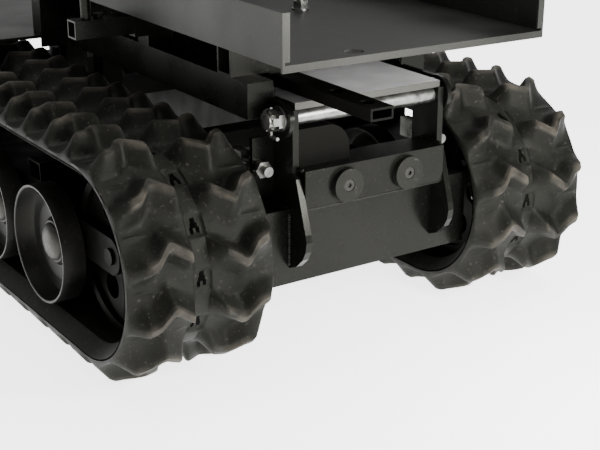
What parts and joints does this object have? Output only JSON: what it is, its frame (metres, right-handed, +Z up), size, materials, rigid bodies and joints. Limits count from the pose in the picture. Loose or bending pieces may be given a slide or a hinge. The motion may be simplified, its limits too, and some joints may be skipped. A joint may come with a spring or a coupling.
{
  "type": "tracked carrier undercarriage",
  "caption": "Rubber-tracked carrier undercarriage with a hinged shallow load tray, sliding arms and rubber buffers.",
  "frame": {"origin": "on the ground, at the middle of the machine", "axes": "+Z up, -Y towards the hinge end, +X towards the right track"},
  "size_m": [0.66, 1.204, 0.46],
  "materials": {
    "rubber": "matt, worn paler on the lugs' crests",
    "black_paint": "satin black paint",
    "wheel_paint": "satin black paint, worn at the rims",
    "zinc": "zinc plated",
    "steel": "turned",
    "cast_grey": "painted casting"
  },
  "bodies": {
    "chassis": {"front_cross_box": "black_paint", "hinge_cheek_left": "black_paint", "hinge_cheek_right": "black_paint", "top_plate": "black_paint", "latch_cover": "black_paint", "buffer_bar": "black_paint", "buffers": "rubber", "buffer_screws": "zinc", "hinge_shaft": "zinc", "castle_nut": "zinc", "split_pin": "zinc", "chassis_rails": "black_paint", "cross_tubes": "black_paint", "rest_posts": "black_paint", "track_beams": "black_paint", "idler_forks": "black_paint", "tension_brackets": "black_paint", "tension_rods": "zinc", "anchor_webs": "black_paint", "tension_nuts": "zinc", "axles": "steel", "gearbox": "cast_grey", "axle_housings": "cast_grey", "rear_cross_tube": "black_paint", "track_left_top": "rubber", "track_left_front": "rubber", "track_left_bottom": "rubber", "track_left_rear": "rubber", "track_right_top": "rubber", "track_right_front": "rubber", "track_right_bottom": "rubber", "track_right_rear": "rubber", "deck_posts": "black_paint", "deck_plate": "black_paint", "bulkhead": "black_paint"},
    "tray_frame": {"tilt_beam_left": "black_paint", "tilt_beam_right": "black_paint", "tray_bearers": "black_paint", "front_arm_guide": "black_paint", "side_arm_guide": "black_paint", "tray": "black_paint", "tray_bolts": "zinc"},
    "front_arm_body": {"front_arm": "black_paint"},
    "side_arm_left_body": {"side_arm_left": "black_paint"},
    "side_arm_right_body": {"side_arm_right": "black_paint"},
    "sprocket_left_body": {"sprocket_left": "wheel_paint", "drive_shaft_left": "steel"},
    "idler_left_body": {"idler_left": "wheel_paint"},
    "roller_left_1_body": {"roller_left_1": "wheel_paint"},
    "roller_left_2_body": {"roller_left_2": "wheel_paint"},
    "roller_left_3_body": {"roller_left_3": "wheel_paint"},
    "roller_left_4_body": {"roller_left_4": "wheel_paint"},
    "sprocket_right_body": {"sprocket_right": "wheel_paint", "drive_shaft_right": "steel"},
    "idler_right_body": {"idler_right": "wheel_paint"},
    "roller_right_1_body": {"roller_right_1": "wheel_paint"},
    "roller_right_2_body": {"roller_right_2": "wheel_paint"},
    "roller_right_3_body": {"roller_right_3": "wheel_paint"},
    "roller_right_4_body": {"roller_right_4": "wheel_paint"},
    "input_shaft_body": {"input_shaft": "steel"}
  },
  "joints": [
    {"name": "tilt", "type": "hinge", "parent": "chassis", "child": "tray_frame", "pos_m": [0, -0.467, 0.293], "axis": [1, 0, 0], "range_deg": [0, 70]},
    {"name": "front_arm_slide", "type": "slide", "parent": "tray_frame", "child": "front_arm_body", "axis": [0, -1, 0], "range_m": [0, 0.15]},
    {"name": "side_arm_left_slide", "type": "slide", "parent": "tray_frame", "child": "side_arm_left_body", "axis": [-1, 0, 0], "range_m": [0, 0.12]},
    {"name": "side_arm_right_slide", "type": "slide", "parent": "tray_frame", "child": "side_arm_right_body", "axis": [1, 0, 0], "range_m": [0, 0.12]},
    {"name": "sprocket_left_spin", "type": "hinge", "parent": "chassis", "child": "sprocket_left_body", "pos_m": [-0.24, 0.39, 0.14099], "axis": [1, 0, 0], "continuous": true},
    {"name": "idler_left_spin", "type": "hinge", "parent": "chassis", "child": "idler_left_body", "pos_m": [-0.24, -0.39, 0.14099], "axis": [1, 0, 0], "continuous": true},
    {"name": "roller_left_1_spin", "type": "hinge", "parent": "chassis", "child": "roller_left_1_body", "pos_m": [-0.24, -0.255, 0.1188], "axis": [1, 0, 0], "continuous": true},
    {"name": "roller_left_2_spin", "type": "hinge", "parent": "chassis", "child": "roller_left_2_body", "pos_m": [-0.24, -0.085, 0.1188], "axis": [1, 0, 0], "continuous": true},
    {"name": "roller_left_3_spin", "type": "hinge", "parent": "chassis", "child": "roller_left_3_body", "pos_m": [-0.24, 0.085, 0.1188], "axis": [1, 0, 0], "continuous": true},
    {"name": "roller_left_4_spin", "type": "hinge", "parent": "chassis", "child": "roller_left_4_body", "pos_m": [-0.24, 0.255, 0.1188], "axis": [1, 0, 0], "continuous": true},
    {"name": "sprocket_right_spin", "type": "hinge", "parent": "chassis", "child": "sprocket_right_body", "pos_m": [0.24, 0.39, 0.14099], "axis": [1, 0, 0], "continuous": true},
    {"name": "idler_right_spin", "type": "hinge", "parent": "chassis", "child": "idler_right_body", "pos_m": [0.24, -0.39, 0.14099], "axis": [1, 0, 0], "continuous": true},
    {"name": "roller_right_1_spin", "type": "hinge", "parent": "chassis", "child": "roller_right_1_body", "pos_m": [0.24, -0.255, 0.1188], "axis": [1, 0, 0], "continuous": true},
    {"name": "roller_right_2_spin", "type": "hinge", "parent": "chassis", "child": "roller_right_2_body", "pos_m": [0.24, -0.085, 0.1188], "axis": [1, 0, 0], "continuous": true},
    {"name": "roller_right_3_spin", "type": "hinge", "parent": "chassis", "child": "roller_right_3_body", "pos_m": [0.24, 0.085, 0.1188], "axis": [1, 0, 0], "continuous": true},
    {"name": "roller_right_4_spin", "type": "hinge", "parent": "chassis", "child": "roller_right_4_body", "pos_m": [0.24, 0.255, 0.1188], "axis": [1, 0, 0], "continuous": true},
    {"name": "input_shaft_spin", "type": "hinge", "parent": "chassis", "child": "input_shaft_body", "pos_m": [0, 0.38, 0.2], "axis": [0, 0, 1], "continuous": true}
  ],
  "couplings": [
    {"joint": "idler_left_spin", "follows": "sprocket_left_spin", "ratio": 1.2},
    {"joint": "roller_left_1_spin", "follows": "sprocket_left_spin", "ratio": 1.57},
    {"joint": "roller_left_2_spin", "follows": "sprocket_left_spin", "ratio": 1.57},
    {"joint": "roller_left_3_spin", "follows": "sprocket_left_spin", "ratio": 1.57},
    {"joint": "roller_left_4_spin", "follows": "sprocket_left_spin", "ratio": 1.57},
    {"joint": "idler_right_spin", "follows": "sprocket_right_spin", "ratio": 1.2},
    {"joint": "roller_right_1_spin", "follows": "sprocket_right_spin", "ratio": 1.57},
    {"joint": "roller_right_2_spin", "follows": "sprocket_right_spin", "ratio": 1.57},
    {"joint": "roller_right_3_spin", "follows": "sprocket_right_spin", "ratio": 1.57},
    {"joint": "roller_right_4_spin", "follows": "sprocket_right_spin", "ratio": 1.57}
  ]
}
